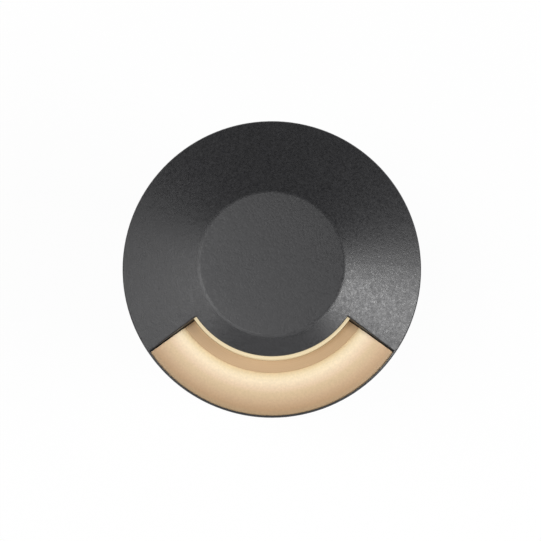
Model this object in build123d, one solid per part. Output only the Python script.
from build123d import *
import math
import os

# One-sided in-ground light.
# A raised, cone-shaped cover with one light window sits on a potted-in mounting sleeve.
# Millimetres. +Z is up and -Y is the side that the light shines to.
# The origin is on the axis, in the plane where the cover lies on the paving.

# Cover, as it shows from above
cover_radius = 45.0
cover_height = 13.5
rim_thickness = 2.5
rim_round = 0.6
cone_top_radius = 21.4
ceiling_thickness = 2.0

# Light window
window_half_angle = 55.3
window_edge_round = 0.4
brow_radius = 27.1
lip_width = 0.6
pocket_floor_height = 1.4
window_direction = -90.0

# Centre cap: it carries the flat top and its round into the cone, and is held by its own O-ring
cap_thickness = 2.4
cap_edge_reach = 0.65
cap_clearance = 0.1
cap_oring_section = 1.0
cap_oring_squeeze_gap = 0.05

# Lens and what seats it
lens_thickness = 2.5
lens_overhang = 0.9
lens_end_bite = 2.5
lens_top_gap = 0.05
lens_clearance = 0.1
gasket_height = 2.0
lens_end_gap_angle = 0.3

# Ledge and reflector in the pocket
ledge_width = 3.65
ledge_height = 4.2
reflector_crest_height = 4.7
reflector_edge_height = 2.3
reflector_roll_width = 1.55
reflector_crown = 0.35

# LED carrier, its board and the LEDs
carrier_clearance = 0.2
carrier_plate_thickness = 3.0
drum_top_gap = 0.4
boss_floor = 2.0
boss_clearance = 0.2
carrier_core_radius = 6.0
thermal_pad_thickness = 0.3
led_board_thickness = 0.8
led_board_foot = 3.0
led_board_half_angle = 51.0
led_count = 9
led_pitch_angle = 9.0
led_width = 2.8
led_height = 2.2
led_depth = 1.0
led_lens_gap = 3.5

# Fixing screws under the cap
screw_count = 3
screw_circle_radius = 14.5
screw_first_angle = 90.0
screw_radius = 1.5
screw_hole_radius = 1.7
screw_length = 20.0
screw_head_radius = 2.75
screw_head_height = 1.7
screw_head_sink = 0.2
screw_socket_size = 2.5
screw_socket_depth = 1.2
counterbore_radius = 3.0
boss_radius = 3.9
screw_seal_thickness = 0.3
thread_clearance = 0.05

# Housing under the cover
housing_depth = 48.0
housing_radius = 31.0
housing_wall = 3.0
housing_floor = 3.0
housing_flange_step = 1.0
housing_flange_thickness = 4.0
housing_edge_round = 1.5
key_count = 4
key_first_angle = 45.0
key_width = 4.0
key_height = 2.2
key_end_margin = 4.0
post_radius = 3.6
post_web = 2.4
web_bite = 0.5
hole_spare = 2.0
cover_oring_section = 1.2

# Driver board and what stands on it
driver_height = 24.0
driver_thickness = 1.6
driver_clearance = 1.5
pillar_radius = 3.0
pillar_edge_distance = 4.0
driver_screw_radius = 1.25
driver_screw_length = 8.0
driver_screw_head_radius = 2.3
driver_screw_head_height = 1.4
board_notch_clearance = 1.0
board_hole_clearance = 0.15
component_gap = 1.5
coil_radius = 5.5
coil_height = 7.0
coil_winding_radius = 4.7
coil_flange_thickness = 1.0
capacitor_radius = 3.2
capacitor_height = 11.0
capacitor_gap = 1.2
capacitor_edge_round = 0.4
chip_length = 5.0
chip_width = 4.0
chip_thickness = 1.5
terminal_length = 12.0
terminal_width = 8.0
terminal_height = 9.0
terminal_poles = 2
terminal_screw_radius = 1.5
terminal_screw_depth = 1.5
terminal_screw_height = 1.0
terminal_slot_width = 0.5
terminal_slot_depth = 0.5
terminal_screw_clearance = 0.1
terminal_entry_radius = 1.3

# Leads from the driver to the LED board
lead_radius = 0.5
lead_spacing = 1.4
lead_standoff = 1.6
lead_angle = -46.5
lead_top_height = 4.6
lead_bend_radius = 1.2
lead_hole_clearance = 0.2

# Breather vent in the housing's floor
vent_wall_distance = 7.5
vent_radius = 3.5
vent_flange_radius = 5.0
vent_flange_thickness = 1.6
vent_bore_radius = 1.6
membrane_radius = 2.4
membrane_thickness = 0.4

# Cable gland, M16, for a cable of 7 mm
gland_thread_radius = 7.9
gland_thread_clearance = 0.1
gland_hex_shoulder = 2.1
gland_hex_thickness = 4.0
gland_lower_thread_length = 8.0
gland_thread_wall = 1.7
gland_chamber_depth = 7.0
gland_oring_offset = 1.0
gland_oring_section = 1.0
locknut_shoulder = 1.6
locknut_thickness = 3.0
cable_radius = 3.5
cable_passage_gap = 1.1
gland_seal_clearance = 0.1
gland_seal_proud = 1.5
thrust_ring_thickness = 1.0
thrust_ring_reach = 0.2
thrust_ring_cable_gap = 0.9
thrust_ring_gap = 0.1
nut_start_gap = 2.5
nut_wall_below = 3.0
nut_dome_length = 3.0
nut_mouth_wall = 2.4
nut_ring_play = 0.1

# Swivel collar that turns in the sleeve and guides the housing
collar_gap = 0.4
collar_flange_reach = 1.9
collar_flange_thickness = 3.2
collar_wall = 2.5
collar_skirt_length = 10.2
collar_key_clearance = 0.3
spring_count = 4
spring_width = 7.0
spring_thickness = 0.4
spring_window_width = 8.0
spring_window_height = 7.6
spring_window_drop = 1.4
spring_housing_gap = 0.2

# Mounting sleeve
sleeve_depth = 81.0
sleeve_collar_wall = 2.1
sleeve_collar_length = 12.0
sleeve_wall = 2.0
sleeve_running_gap = 0.3
sleeve_floor = 3.0
sleeve_bottom_round = 2.0
mouth_lip_thickness = 2.4
groove_clearance = 0.3
groove_play = 0.2
rib_count = 8
rib_width = 2.0
rib_height = 1.8
rib_first_angle = 22.5
knockout_radius = 7.0
knockout_groove_width = 1.0
knockout_groove_depth = 0.8
knockout_drop = 62.0

# Base of the sleeve, with two conduit sockets and the plug of the spare one
spigot_clearance = 0.1
spigot_wall = 1.2
spigot_height = 4.0
drain_radius = 5.0
conduit_bore_radius = 8.1
conduit_wall = 2.0
conduit_length = 13.0
conduit_wall_distance = 2.6
plug_clearance = 0.1
plug_depth = 7.0
plug_flange_inset = 0.3
plug_flange_thickness = 2.0

# How far a cutting shape runs past what it cuts, and how near an edge has to be to count as found
cut_margin = 1.0
edge_tolerance = 0.01

# Heights and radii that several pieces share
cone_foot_radius = cover_radius
cone_slope = (cover_height - rim_thickness) / (cone_foot_radius - cone_top_radius)
cap_radius = cone_top_radius + cap_edge_reach
cap_recess_radius = cap_radius + cap_clearance
cap_recess_floor = cover_height - cap_thickness
cap_edge_top = cover_height - cap_edge_reach * cone_slope
cap_edge_round = cap_edge_reach / math.tan(math.atan(cone_slope) / 2)
cap_groove_height = (cap_recess_floor + cap_edge_top) / 2
ceiling_height = cap_recess_floor - ceiling_thickness
lens_outer_radius = brow_radius + lens_overhang
lens_inner_radius = lens_outer_radius - lens_thickness
ledge_inner_radius = lens_outer_radius + lens_clearance
ledge_outer_radius = ledge_inner_radius + ledge_width
chamber_radius = lens_inner_radius - lens_clearance
pocket_outer_radius = cover_radius - lip_width
lens_half_angle = window_half_angle + lens_end_bite
counterbore_floor = cap_recess_floor - screw_head_sink - screw_head_height - screw_seal_thickness
boss_bottom = counterbore_floor - boss_floor
drum_top = ceiling_height - drum_top_gap
board_outer_radius = lens_inner_radius - led_lens_gap - led_depth
board_inner_radius = board_outer_radius - led_board_thickness
drum_radius = board_inner_radius - thermal_pad_thickness
lead_circle_radius = board_outer_radius + lead_standoff
housing_flange_radius = housing_radius + housing_flange_step
housing_bore_radius = housing_radius - housing_wall
housing_inner_floor = -housing_depth + housing_floor
cover_oring_radius = (housing_bore_radius + housing_flange_radius) / 2
carrier_radius = housing_bore_radius - carrier_clearance
post_top = -carrier_plate_thickness
vent_offset = housing_bore_radius - vent_wall_distance
collar_top = -(mouth_lip_thickness + groove_play)
collar_bore_radius = housing_flange_radius + collar_gap
collar_skirt_radius = collar_bore_radius + collar_wall
collar_flange_bottom = collar_top - collar_flange_thickness
collar_bottom = collar_flange_bottom - collar_skirt_length
key_radius = housing_radius + key_height
sleeve_bore_radius = collar_skirt_radius + sleeve_running_gap
sleeve_radius = sleeve_bore_radius + sleeve_wall
collar_flange_radius = sleeve_bore_radius + collar_flange_reach
groove_radius = collar_flange_radius + groove_clearance
sleeve_collar_radius = groove_radius + sleeve_collar_wall
rib_radius = sleeve_radius + rib_height
sleeve_foot = -sleeve_depth + sleeve_floor
spigot_radius = sleeve_bore_radius - spigot_clearance
conduit_top = -sleeve_depth + conduit_length
conduit_outer_radius = conduit_bore_radius + conduit_wall
conduit_offset = sleeve_bore_radius - conduit_outer_radius - conduit_wall_distance
driver_radius = housing_bore_radius - driver_clearance
pillar_circle_radius = driver_radius - pillar_edge_distance
driver_top = -driver_height + driver_thickness
component_edge = pillar_circle_radius - driver_screw_head_radius - component_gap
terminal_centre = component_edge - terminal_width / 2
gland_hex_across_flats = 2 * (gland_thread_radius + gland_hex_shoulder)
locknut_across_flats = 2 * (gland_thread_radius + locknut_shoulder)
gland_chamber_radius = gland_thread_radius - gland_thread_wall
gland_bore_radius = cable_radius + cable_passage_gap
gland_oring_radius = gland_thread_radius + gland_oring_offset
thrust_ring_radius = gland_chamber_radius + thrust_ring_reach
thrust_ring_bore_radius = cable_radius + thrust_ring_cable_gap
nut_hole_radius = gland_bore_radius
gland_hex_bottom = -housing_depth - gland_hex_thickness
gland_thread_end = gland_hex_bottom - gland_lower_thread_length
seal_end = gland_thread_end - gland_seal_proud
thrust_ring_top = seal_end - thrust_ring_gap
thrust_ring_bottom = thrust_ring_top - thrust_ring_thickness
nut_shoulder = thrust_ring_bottom - nut_ring_play
nut_top = gland_hex_bottom - nut_start_gap
nut_bottom = nut_shoulder - nut_wall_below


def cone_height(radius):
    """Height of the cover's cone above the paving, at a radius."""
    return cover_height - (radius - cone_top_radius) * cone_slope


def turned(*outline):
    """Solid turned about Z from an outline of (radius, height) points."""
    points = [(radius, 0, height) for radius, height in outline]
    return revolve(Face(Wire(Polyline(*points, close=True))), axis=Axis.Z)


def ring(inner, outer, bottom, top):
    """Plain ring about Z."""
    return turned((inner, bottom), (outer, bottom), (outer, top), (inner, top))


def disc(radius, bottom, top, x=0.0, y=0.0):
    """Upright cylinder between two heights."""
    base = Plane((x, y, bottom))
    return extrude(base * Circle(radius), amount=top - bottom)


def block(x_size, y_size, bottom, top, x=0.0, y=0.0):
    """Upright block centred on x and y, between two heights."""
    return extrude(Plane((x, y, bottom)) * Rectangle(x_size, y_size), amount=top - bottom)


def hexagon(across_flats, bottom, top, x=0.0, y=0.0):
    """Upright hexagonal prism."""
    outline = RegularPolygon(across_flats / 2, 6, major_radius=False)
    return extrude(Plane((x, y, bottom)) * outline, amount=top - bottom)


def turned_part(face, half_angle, direction=window_direction):
    """Part of a turned solid, as wide as half_angle to each side of a direction."""
    solid = revolve(face, axis=Axis.Z, revolution_arc=2 * half_angle)
    return Rot(0, 0, direction - half_angle) * solid


def sector(inner, outer, bottom, top, half_angle, direction=window_direction):
    """Part of a plain ring to each side of a direction."""
    points = [(inner, 0, bottom), (outer, 0, bottom), (outer, 0, top), (inner, 0, top)]
    return turned_part(Face(Wire(Polyline(*points, close=True))), half_angle, direction)


def level_arc(crest, end):
    """Arc in the XZ plane that is level at its crest and runs down to its end, both (radius, height)."""
    width = end[0] - crest[0]
    fall = crest[1] - end[1]
    radius = (width ** 2 + fall ** 2) / (2 * fall)
    half_turn = math.asin(width / radius) / 2
    middle = (crest[0] + radius * math.sin(half_turn), 0, crest[1] - radius * (1 - math.cos(half_turn)))
    return ThreePointArc((crest[0], 0, crest[1]), middle, (end[0], 0, end[1]))


def oring(centre_radius, section, height):
    """Rubber ring of round section, centred at a height."""
    return Pos(0, 0, height) * Torus(centre_radius, section / 2)


def around(count, first_angle, radius):
    """Places on a circle, as (x, y, angle)."""
    places = []
    for index in range(count):
        angle = first_angle + index * 360.0 / count
        turn = math.radians(angle)
        places.append((radius * math.cos(turn), radius * math.sin(turn), angle))
    return places


screw_places = around(screw_count, screw_first_angle, screw_circle_radius)
pillar_places = around(screw_count, screw_first_angle + 180.0 / screw_count, pillar_circle_radius)
lead_half_step = math.degrees(lead_spacing / 2 / lead_circle_radius)
lead_angles = [lead_angle - lead_half_step, lead_angle + lead_half_step]


def group(solids):
    """Separate solids kept in one node."""
    return Compound(children=[piece.solid() for piece in solids])


def top_cover():
    """Die-cast cover: cone, cap recess, light window with its brow, and the thin front lip."""
    cover = turned(
        (0, 0),
        (cover_radius, 0),
        (cover_radius, rim_thickness),
        (cone_top_radius, cover_height),
        (0, cover_height),
    )
    rim_edge = cover.edges().filter_by(GeomType.CIRCLE).filter_by_position(
        Axis.Z, rim_thickness - edge_tolerance, rim_thickness + edge_tolerance)
    cover = fillet(rim_edge, rim_round)
    cover -= disc(cap_recess_radius, cap_recess_floor, cover_height)
    chamber = disc(chamber_radius, 0, ceiling_height)
    for x, y, _ in screw_places:
        chamber -= disc(boss_radius, boss_bottom, ceiling_height, x, y)
    cover -= chamber
    cover -= sector(brow_radius, pocket_outer_radius, pocket_floor_height, cover_height, window_half_angle)
    window_edges = [
        edge for edge in cover.edges()
        if abs((edge @ 0.5).Z - cone_height(math.hypot((edge @ 0.5).X, (edge @ 0.5).Y))) < edge_tolerance
        and (edge @ 0.5).Y < -cut_margin
        and (edge @ 0.5).Z > rim_thickness + rim_round
    ]
    cover = fillet(window_edges, window_edge_round)
    cover -= sector(chamber_radius - cut_margin, ledge_inner_radius, 0, ceiling_height,
                    lens_half_angle)
    for x, y, _ in screw_places:
        cover -= disc(screw_hole_radius, boss_bottom, cap_recess_floor, x, y)
        cover -= disc(counterbore_radius, counterbore_floor, cap_recess_floor, x, y)
    return cover


def centre_cap():
    """Cap over the fixing screws: flat on top, rounded into the cone, with a groove for its O-ring."""
    cap = turned(
        (0, cap_recess_floor),
        (cap_radius, cap_recess_floor),
        (cap_radius, cap_edge_top),
        (cone_top_radius, cover_height),
        (0, cover_height),
    )
    top_edge = cap.edges().filter_by(GeomType.CIRCLE).group_by(Axis.Z)[-1]
    cap = fillet(top_edge, cap_edge_round)
    half = cap_oring_section / 2 + cap_oring_squeeze_gap
    groove_floor = cap_recess_radius - cap_oring_squeeze_gap - cap_oring_section
    cap -= ring(groove_floor, cap_recess_radius, cap_groove_height - half, cap_groove_height + half)
    return cap


def cap_oring():
    """O-ring in the cap's edge groove."""
    centre = cap_recess_radius - cap_oring_squeeze_gap - cap_oring_section / 2
    return oring(centre, cap_oring_section, cap_groove_height)


def lens():
    """Frosted lens that stands under the brow, with its foot on the gasket."""
    return sector(lens_inner_radius, lens_outer_radius, gasket_height,
                  ceiling_height - lens_top_gap, lens_half_angle - lens_end_gap_angle)


def lens_gasket():
    """Silicone strip between the lens's foot and the housing."""
    return sector(lens_inner_radius, lens_outer_radius, 0, gasket_height, lens_half_angle - lens_end_gap_angle)


def lens_ledge():
    """Flat strip that lies in the pocket in front of the lens and holds its foot."""
    return sector(ledge_inner_radius, ledge_outer_radius, pocket_floor_height, ledge_height, window_half_angle)


def reflector():
    """Gold insert of the pocket: it rolls up from the ledge to a crest, then falls away to the lip."""
    crest_radius = ledge_outer_radius + reflector_roll_width
    inner_foot = (ledge_outer_radius, 0, pocket_floor_height)
    inner_edge = (ledge_outer_radius, 0, ledge_height)
    outer_edge = (pocket_outer_radius, 0, reflector_edge_height)
    outer_foot = (pocket_outer_radius, 0, pocket_floor_height)
    middle_radius = (crest_radius + pocket_outer_radius) / 2
    middle_height = (reflector_crest_height + reflector_edge_height) / 2 + reflector_crown
    roll = level_arc((crest_radius, reflector_crest_height), (ledge_outer_radius, ledge_height))
    slope = ThreePointArc((crest_radius, 0, reflector_crest_height),
                          (middle_radius, 0, middle_height),
                          outer_edge)
    outline = [Line(inner_foot, inner_edge), roll, slope, Line(outer_edge, outer_foot), Line(outer_foot, inner_foot)]
    return turned_part(Face(Wire(outline)), window_half_angle)


def led_carrier():
    """Aluminium plate with a drum that stands behind the lens, with pockets for the cover's bosses."""
    carrier = disc(carrier_radius, -carrier_plate_thickness, 0)
    carrier += disc(drum_radius, 0, drum_top)
    carrier -= disc(carrier_core_radius, -carrier_plate_thickness, drum_top)
    for x, y, _ in screw_places:
        carrier -= disc(boss_radius + boss_clearance, boss_bottom, drum_top, x, y)
        carrier -= disc(screw_hole_radius, -carrier_plate_thickness, boss_bottom, x, y)
    for angle in lead_angles:
        hole = disc(lead_radius + lead_hole_clearance, -carrier_plate_thickness, 0, lead_circle_radius)
        carrier -= Rot(0, 0, angle) * hole
    return carrier


def thermal_pad():
    """Thin pad that passes the LEDs' heat from their board to the drum."""
    return sector(drum_radius, board_inner_radius, led_board_foot, drum_top, led_board_half_angle)


def led_board():
    """Curved circuit board round the drum's front."""
    return sector(board_inner_radius, board_outer_radius, led_board_foot, drum_top, led_board_half_angle)


def led_chips():
    """Row of LEDs on the board, each facing straight out to the lens."""
    middle = (led_board_foot + drum_top) / 2
    sagitta = board_outer_radius - math.sqrt(board_outer_radius ** 2 - (led_width / 2) ** 2)
    chips = []
    for index in range(led_count):
        angle = window_direction + (index - (led_count - 1) / 2) * led_pitch_angle
        chip = block(led_depth + sagitta, led_width, middle - led_height / 2, middle + led_height / 2,
                     board_outer_radius + (led_depth - sagitta) / 2)
        chip -= disc(board_outer_radius, middle - led_height, middle + led_height)
        chips.append(Rot(0, 0, angle) * chip)
    return group(chips)


def cover_screws():
    """Long screws from under the cap, through cover and carrier, into the housing's posts."""
    screws = []
    head_bottom = counterbore_floor + screw_seal_thickness
    head_top = head_bottom + screw_head_height
    for x, y, _ in screw_places:
        screw = disc(screw_radius, head_bottom - screw_length, head_bottom, x, y)
        screw += disc(screw_head_radius, head_bottom, head_top, x, y)
        screw -= hexagon(screw_socket_size, head_top - screw_socket_depth, head_top, x, y)
        screws.append(screw)
    return group(screws)


def screw_seals():
    """Thin sealing washers under the screw heads."""
    seals = []
    top = counterbore_floor + screw_seal_thickness
    for x, y, _ in screw_places:
        seal = disc(screw_head_radius, counterbore_floor, top, x, y)
        seals.append(seal - disc(screw_hole_radius, counterbore_floor, top, x, y))
    return group(seals)


def housing():
    """Die-cast pot: flange with the O-ring groove, keys outside, screw posts and board pillars inside."""
    pot = turned(
        (0, -housing_depth),
        (housing_radius, -housing_depth),
        (housing_radius, -housing_flange_thickness),
        (housing_flange_radius, -housing_flange_thickness),
        (housing_flange_radius, 0),
        (0, 0),
    )
    pot = fillet(pot.edges().group_by(Axis.Z)[0], housing_edge_round)
    for _, _, angle in around(key_count, key_first_angle, 1):
        key = block(key_radius, key_width, -housing_depth + key_end_margin, -housing_flange_thickness,
                    key_radius / 2)
        pot += Rot(0, 0, angle) * key
    pot -= disc(housing_bore_radius, housing_inner_floor, 0)
    for x, y, angle in screw_places:
        post = disc(post_radius, housing_inner_floor, post_top, x, y)
        web_length = housing_bore_radius + web_bite - screw_circle_radius
        web = block(web_length, post_web, housing_inner_floor, post_top,
                    screw_circle_radius + web_length / 2)
        pot += post
        pot += Rot(0, 0, angle) * web
    for x, y, _ in pillar_places:
        pot += disc(pillar_radius, housing_inner_floor, -driver_height, x, y)
    screw_tip = counterbore_floor - screw_length
    for x, y, _ in screw_places:
        pot -= disc(screw_radius + thread_clearance, screw_tip - hole_spare, post_top, x, y)
    driver_screw_tip = driver_top - driver_screw_length
    for x, y, _ in pillar_places:
        pot -= disc(driver_screw_radius + thread_clearance, driver_screw_tip - hole_spare, -driver_height, x, y)
    groove_half = cover_oring_section / 2
    pot -= ring(cover_oring_radius - groove_half, cover_oring_radius + groove_half,
                -cover_oring_section, 0)
    pot -= disc(gland_thread_radius + gland_thread_clearance, -housing_depth, housing_inner_floor)
    pot -= disc(vent_radius, -housing_depth, housing_inner_floor, -vent_offset)
    return pot


def cover_oring():
    """O-ring in the housing's flange, under the cover."""
    return oring(cover_oring_radius, cover_oring_section, -cover_oring_section / 2)


def driver_board():
    """Three-lobed circuit board on the pillars, cut out round the screw posts."""
    board = disc(driver_radius, -driver_height, driver_top)
    slot = 2 * (post_radius + board_notch_clearance)
    for x, y, angle in screw_places:
        board -= disc(slot / 2, -driver_height, driver_top, x, y)
        length = driver_radius - screw_circle_radius + cut_margin
        notch = block(length, slot, -driver_height, driver_top, screw_circle_radius + length / 2)
        board -= Rot(0, 0, angle) * notch
    for x, y, _ in pillar_places:
        board -= disc(driver_screw_radius + board_hole_clearance, -driver_height, driver_top, x, y)
    for angle in lead_angles:
        hole = disc(lead_radius + board_hole_clearance, -driver_height, driver_top, lead_circle_radius)
        board -= Rot(0, 0, angle) * hole
    return board


def driver_screws():
    """Small screws that hold the driver board to its pillars."""
    screws = []
    for x, y, _ in pillar_places:
        screw = disc(driver_screw_radius, driver_top - driver_screw_length, driver_top, x, y)
        screw += disc(driver_screw_head_radius, driver_top, driver_top + driver_screw_head_height, x, y)
        screws.append(screw)
    return group(screws)


def on_lobe(piece, lobe):
    """A piece modelled along +X, turned to one of the board's lobes."""
    return Rot(0, 0, pillar_places[lobe][2]) * piece


def driver_coil():
    """Drum-shaped choke: two flanges and a narrower winding."""
    top = driver_top + coil_height
    centre = component_edge - coil_radius
    coil = disc(coil_radius, driver_top, driver_top + coil_flange_thickness, centre)
    coil += disc(coil_winding_radius, driver_top, top, centre)
    coil += disc(coil_radius, top - coil_flange_thickness, top, centre)
    return on_lobe(coil, 2)


def driver_capacitors():
    """Two upright electrolytic capacitors side by side."""
    centre = component_edge - capacitor_radius
    side = capacitor_radius + capacitor_gap / 2
    cans = []
    for y in (-side, side):
        can = disc(capacitor_radius, driver_top, driver_top + capacitor_height, centre, y)
        can = fillet(can.edges().group_by(Axis.Z)[-1], capacitor_edge_round)
        cans.append(on_lobe(can, 0))
    return group(cans)


def driver_chips():
    """Flat chips at the middle of the board."""
    step = chip_width + component_gap
    chips = []
    for index in (-1, 1):
        chip = block(chip_length, chip_width, driver_top, driver_top + chip_thickness, 0, index * step / 2)
        chips.append(chip)
    return group(chips)


def terminal_pole_offsets():
    """Places of the clamping screws along the terminal block."""
    pitch = terminal_length / terminal_poles
    return [(index - (terminal_poles - 1) / 2) * pitch for index in range(terminal_poles)]


def terminal_block():
    """Screw terminals for the supply's two cores."""
    top = driver_top + terminal_height
    body = block(terminal_width, terminal_length, driver_top, top, terminal_centre)
    for y in terminal_pole_offsets():
        well = terminal_screw_radius + terminal_screw_clearance
        body -= disc(well, top - terminal_screw_depth, top, terminal_centre, y)
        mouth = Plane(origin=(terminal_centre - terminal_width / 2, y, driver_top + terminal_height / 3),
                      z_dir=(1, 0, 0))
        body -= extrude(mouth * Circle(terminal_entry_radius), amount=terminal_width / 2)
    return on_lobe(body, 1)


def terminal_screws():
    """Clamping screws of the terminal block."""
    bottom = driver_top + terminal_height - terminal_screw_depth
    screws = []
    for y in terminal_pole_offsets():
        screw = disc(terminal_screw_radius, bottom, bottom + terminal_screw_height, terminal_centre, y)
        slot_floor = bottom + terminal_screw_height - terminal_slot_depth
        screw -= block(2 * terminal_screw_radius, terminal_slot_width, slot_floor,
                       bottom + terminal_screw_height, terminal_centre, y)
        screws.append(on_lobe(screw, 1))
    return group(screws)


def led_leads():
    """Two insulated wires from the driver board up to the end of the LED board."""
    leads = []
    for angle in lead_angles:
        path = FilletPolyline(
            (lead_circle_radius, 0, -driver_height),
            (lead_circle_radius, 0, lead_top_height),
            (board_outer_radius, 0, lead_top_height),
            radius=lead_bend_radius,
        )
        section = Plane(origin=path @ 0, z_dir=path % 0) * Circle(lead_radius)
        wire = sweep(section, path=path)
        leads.append(Rot(0, 0, angle) * wire)
    return group(leads)


def vent_plug():
    """Breather plug pressed into the housing's floor; it lets air out and keeps water off."""
    plug = disc(vent_radius, -housing_depth, housing_inner_floor, -vent_offset)
    plug += disc(vent_flange_radius, -housing_depth - vent_flange_thickness, -housing_depth, -vent_offset)
    plug -= disc(vent_bore_radius, -housing_depth - vent_flange_thickness, housing_inner_floor, -vent_offset)
    seat = housing_inner_floor - membrane_thickness
    plug -= disc(membrane_radius, seat, housing_inner_floor, -vent_offset)
    return plug


def vent_membrane():
    """Membrane disc in the breather plug."""
    seat = housing_inner_floor - membrane_thickness
    return disc(membrane_radius, seat, housing_inner_floor, -vent_offset)


def gland_body():
    """Gland body: thread through the housing's floor, hexagon, and the lower thread for the nut."""
    top = housing_inner_floor + locknut_thickness
    body = disc(gland_thread_radius, -housing_depth, top)
    body += hexagon(gland_hex_across_flats, gland_hex_bottom, -housing_depth)
    body += disc(gland_thread_radius, gland_thread_end, gland_hex_bottom)
    body -= disc(gland_bore_radius, gland_thread_end, top)
    body -= disc(gland_chamber_radius, gland_thread_end, gland_thread_end + gland_chamber_depth)
    groove_half = gland_oring_section / 2
    body -= ring(gland_oring_radius - groove_half, gland_oring_radius + groove_half,
                 -housing_depth - gland_oring_section, -housing_depth)
    return body


def gland_oring():
    """O-ring between the gland's hexagon and the housing."""
    return oring(gland_oring_radius, gland_oring_section, -housing_depth - gland_oring_section / 2)


def gland_locknut():
    """Flat nut that holds the gland from inside the housing."""
    top = housing_inner_floor + locknut_thickness
    nut = hexagon(locknut_across_flats, housing_inner_floor, top)
    return nut - disc(gland_thread_radius + thread_clearance, housing_inner_floor, top)


def gland_seal():
    """Rubber ring that closes on the cable."""
    top = gland_thread_end + gland_chamber_depth
    return ring(cable_radius, gland_chamber_radius - gland_seal_clearance, seal_end, top)


def gland_thrust_ring():
    """Slip ring between the nut and the rubber."""
    return ring(thrust_ring_bore_radius, thrust_ring_radius, thrust_ring_bottom, thrust_ring_top)


def gland_nut():
    """Cap nut of the gland: hexagon, short dome and the cable's hole."""
    hex_bottom = nut_bottom + nut_dome_length
    nut = hexagon(gland_hex_across_flats, hex_bottom, nut_top)
    nut += turned(
        (0, nut_bottom),
        (nut_hole_radius + nut_mouth_wall, nut_bottom),
        (gland_hex_across_flats / 2, hex_bottom),
        (0, hex_bottom),
    )
    nut -= disc(gland_thread_radius + gland_thread_clearance, nut_shoulder, nut_top)
    nut -= disc(nut_hole_radius, nut_bottom, nut_shoulder)
    return nut


def swivel_collar():
    """Collar captive in the sleeve's groove; its notches guide the housing's keys."""
    collar = ring(collar_bore_radius, collar_flange_radius, collar_flange_bottom, collar_top)
    collar += ring(collar_bore_radius, collar_skirt_radius, collar_bottom, collar_flange_bottom)
    for _, _, angle in around(key_count, key_first_angle, 1):
        reach = key_radius + collar_key_clearance
        notch = block(reach, key_width + 2 * collar_key_clearance, collar_bottom, collar_top, reach / 2)
        collar -= Rot(0, 0, angle) * notch
    window_top = collar_flange_bottom - spring_window_drop
    for _, _, angle in around(spring_count, 0, 1):
        window = block(2 * cut_margin + collar_skirt_radius - collar_bore_radius, spring_window_width,
                       window_top - spring_window_height, window_top,
                       (collar_skirt_radius + collar_bore_radius) / 2)
        collar -= Rot(0, 0, angle) * window
    return collar


def grip_springs():
    """Bowed leaf springs in the collar's windows, which bear on the housing."""
    window_top = collar_flange_bottom - spring_window_drop
    window_bottom = window_top - spring_window_height
    middle = (window_top + window_bottom) / 2
    end_radius = collar_skirt_radius - 2 * spring_thickness
    bow_radius = housing_radius + spring_housing_gap
    inner = ThreePointArc((end_radius, 0, window_top), (bow_radius, 0, middle), (end_radius, 0, window_bottom))
    outer = ThreePointArc((end_radius + spring_thickness, 0, window_bottom),
                          (bow_radius + spring_thickness, 0, middle),
                          (end_radius + spring_thickness, 0, window_top))
    strip = Face(Wire([inner, Line(inner @ 1, outer @ 0), outer, Line(outer @ 1, inner @ 0)]))
    spring = extrude(strip, amount=spring_width / 2, dir=(0, 1, 0), both=True)
    return group([Rot(0, 0, angle) * spring for _, _, angle in around(spring_count, 0, 1)])


def mounting_sleeve():
    """Ribbed plastic tube that is cast or mortared into the ground, with the collar's groove in its mouth."""
    sleeve = turned(
        (0, sleeve_foot),
        (sleeve_radius, sleeve_foot),
        (sleeve_radius, -sleeve_collar_length),
        (sleeve_collar_radius, -sleeve_collar_length),
        (sleeve_collar_radius, 0),
        (0, 0),
    )
    for _, _, angle in around(rib_count, rib_first_angle, 1):
        depth = rib_radius - sleeve_bore_radius
        rib = block(depth, rib_width, sleeve_foot, -sleeve_collar_length, sleeve_bore_radius + depth / 2)
        sleeve += Rot(0, 0, angle) * rib
    sleeve -= disc(sleeve_bore_radius, sleeve_foot, 0)
    groove_bottom = collar_flange_bottom - groove_play
    sleeve -= disc(groove_radius, groove_bottom, -mouth_lip_thickness)
    for angle in (90, 270):
        mark = Plane(origin=(sleeve_radius - knockout_groove_depth, 0, -knockout_drop), z_dir=(1, 0, 0))
        groove = extrude(mark * Circle(knockout_radius + knockout_groove_width), amount=rib_radius)
        groove -= extrude(mark * Circle(knockout_radius), amount=rib_radius)
        sleeve -= Rot(0, 0, angle) * groove
    return sleeve


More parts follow.
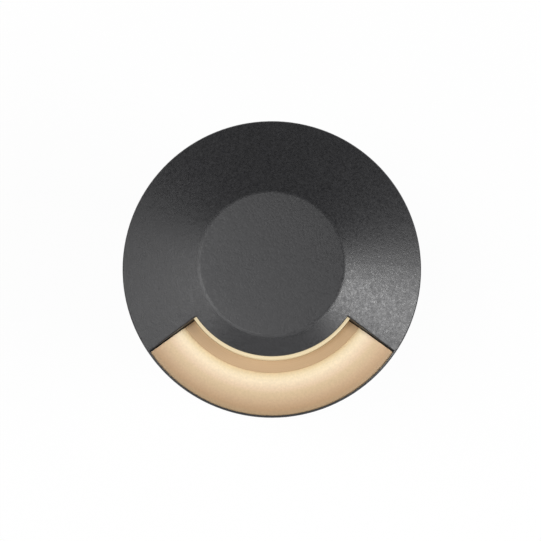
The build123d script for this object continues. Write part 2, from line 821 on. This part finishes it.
def sleeve_base():
    """Base pushed into the sleeve's lower end, with a drain hole and two sockets for conduit."""
    base = disc(sleeve_radius, -sleeve_depth, sleeve_foot)
    base = fillet(base.edges().group_by(Axis.Z)[0], sleeve_bottom_round)
    base += ring(spigot_radius - spigot_wall, spigot_radius, sleeve_foot, sleeve_foot + spigot_height)
    for side in (-1, 1):
        base += disc(conduit_outer_radius, sleeve_foot, conduit_top, side * conduit_offset)
        base -= disc(conduit_bore_radius, -sleeve_depth, conduit_top, side * conduit_offset)
    base -= disc(drain_radius, -sleeve_depth, sleeve_foot)
    return base


def entry_plug():
    """Rubber plug that closes the conduit socket that isn't used."""
    plug = disc(conduit_bore_radius - plug_clearance, conduit_top - plug_depth, conduit_top, -conduit_offset)
    plug += disc(conduit_outer_radius - plug_flange_inset, conduit_top, conduit_top + plug_flange_thickness,
                 -conduit_offset)
    return plug


nodes = {
    "mounting_sleeve": mounting_sleeve,
    "sleeve_base": sleeve_base,
    "entry_plug": entry_plug,
    "swivel_collar": swivel_collar,
    "grip_springs": grip_springs,
    "top_cover": top_cover,
    "reflector": reflector,
    "lens_ledge": lens_ledge,
    "lens": lens,
    "lens_gasket": lens_gasket,
    "led_carrier": led_carrier,
    "thermal_pad": thermal_pad,
    "led_board": led_board,
    "led_chips": led_chips,
    "cover_screws": cover_screws,
    "screw_seals": screw_seals,
    "housing": housing,
    "cover_oring": cover_oring,
    "driver_board": driver_board,
    "driver_screws": driver_screws,
    "driver_coil": driver_coil,
    "driver_capacitors": driver_capacitors,
    "driver_chips": driver_chips,
    "terminal_block": terminal_block,
    "terminal_screws": terminal_screws,
    "led_leads": led_leads,
    "vent_plug": vent_plug,
    "vent_membrane": vent_membrane,
    "gland_body": gland_body,
    "gland_oring": gland_oring,
    "gland_locknut": gland_locknut,
    "gland_seal": gland_seal,
    "gland_thrust_ring": gland_thrust_ring,
    "gland_nut": gland_nut,
    "centre_cap": centre_cap,
    "cap_oring": cap_oring,
}

os.makedirs("parts", exist_ok=True)
for name, make in nodes.items():
    export_step(make(), f"parts/{name}.step")
    print(name)
